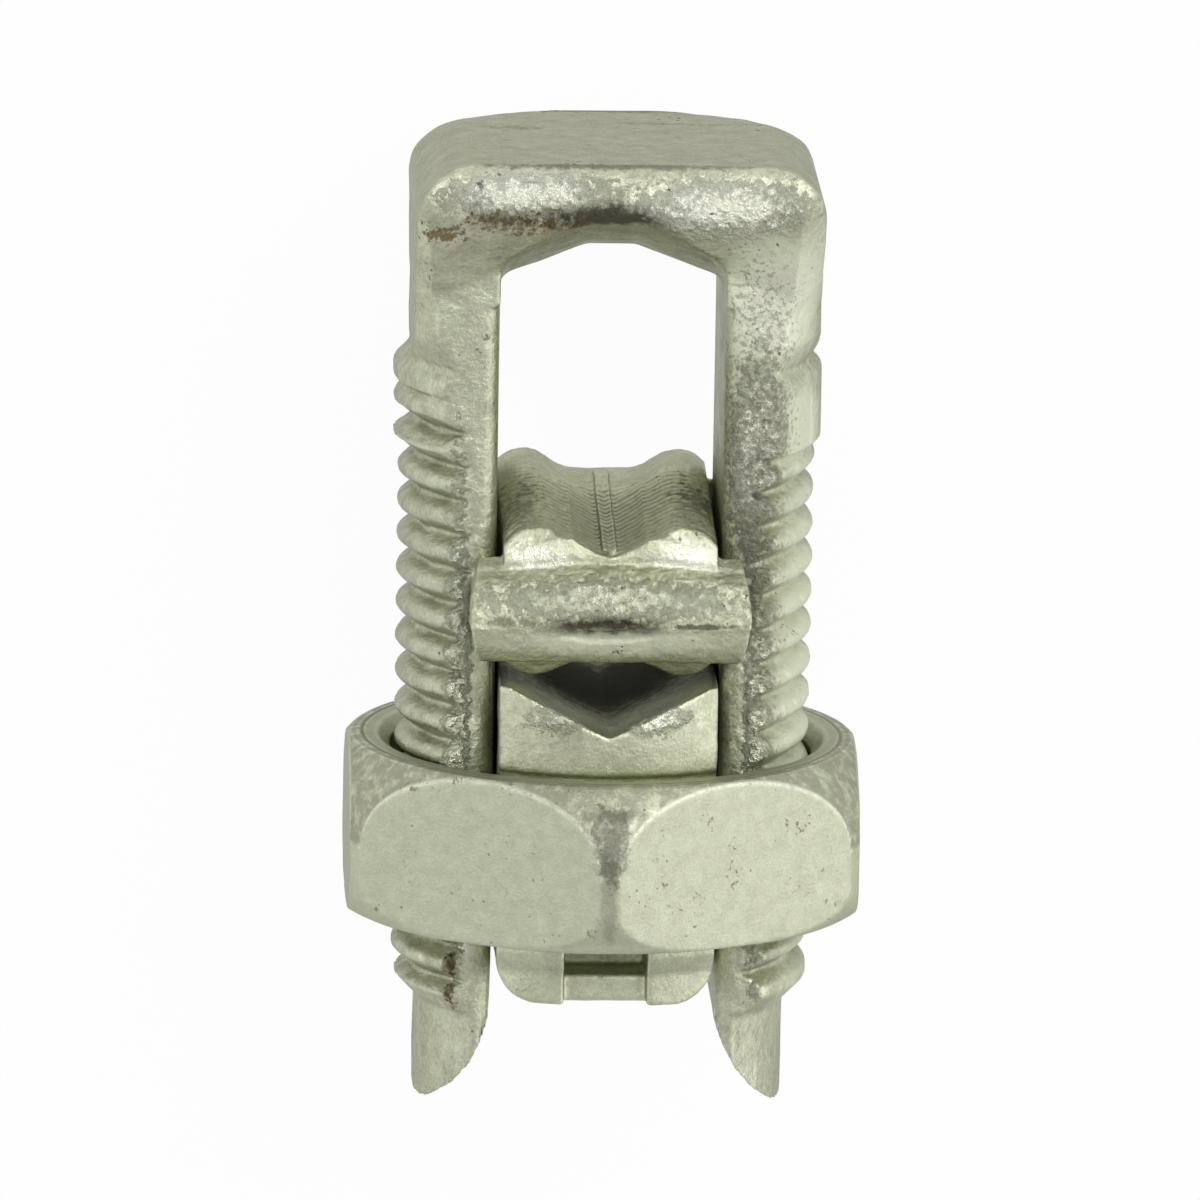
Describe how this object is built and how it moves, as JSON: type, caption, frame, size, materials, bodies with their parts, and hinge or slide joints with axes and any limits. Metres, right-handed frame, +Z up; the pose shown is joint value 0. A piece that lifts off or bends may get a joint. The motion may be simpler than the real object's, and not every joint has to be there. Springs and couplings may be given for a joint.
{
  "type": "split bolt wire connector",
  "caption": "Split bolt connector: a forged slotted bolt, a hexagon nut, a grooved pressure bar and a loose spacer bar clamp conductors one above the other.",
  "frame": {"origin": "on the floor, under the middle of the part's box as it lies on its back", "axes": "+X across the two legs, +Y towards the head, +Z up; the bolt's axis leans down towards the head"},
  "size_m": [0.0232, 0.0454, 0.0264],
  "materials": {
    "forged_body": "tin plated forging, satin and mottled, with dark grime in the pits",
    "nut": "tin plated, satin and finely speckled, with bright worn edges",
    "pressure_bar": "tin plated, satin",
    "spacer_bar": "tin plated forging, rough and mottled"
  },
  "bodies": {
    "bolt_body": {"split_bolt": "forged_body"},
    "bar_body": {"pressure_bar": "pressure_bar"},
    "nut_body": {"hex_nut": "nut"},
    "spacer_body": {"spacer_bar": "spacer_bar"}
  },
  "joints": [
    {"name": "bar_travel", "type": "slide", "parent": "bolt_body", "child": "bar_body", "axis": [0, 0.9842, -0.1772], "range_m": [-0.00794, 0.00635]},
    {"name": "nut_turn", "type": "hinge", "parent": "bar_body", "child": "nut_body", "pos_m": [0, -0.00965, 0.01307], "axis": [0, 0.9842, -0.1772], "range_deg": [-1801, 1441]},
    {"name": "spacer_lift", "type": "slide", "parent": "bar_body", "child": "spacer_body", "axis": [0, 0.9842, -0.1772], "range_m": [0, 0.0038]}
  ],
  "couplings": [
    {"joint": "nut_turn", "follows": "bar_travel", "rad_per_m": 3957.9}
  ]
}
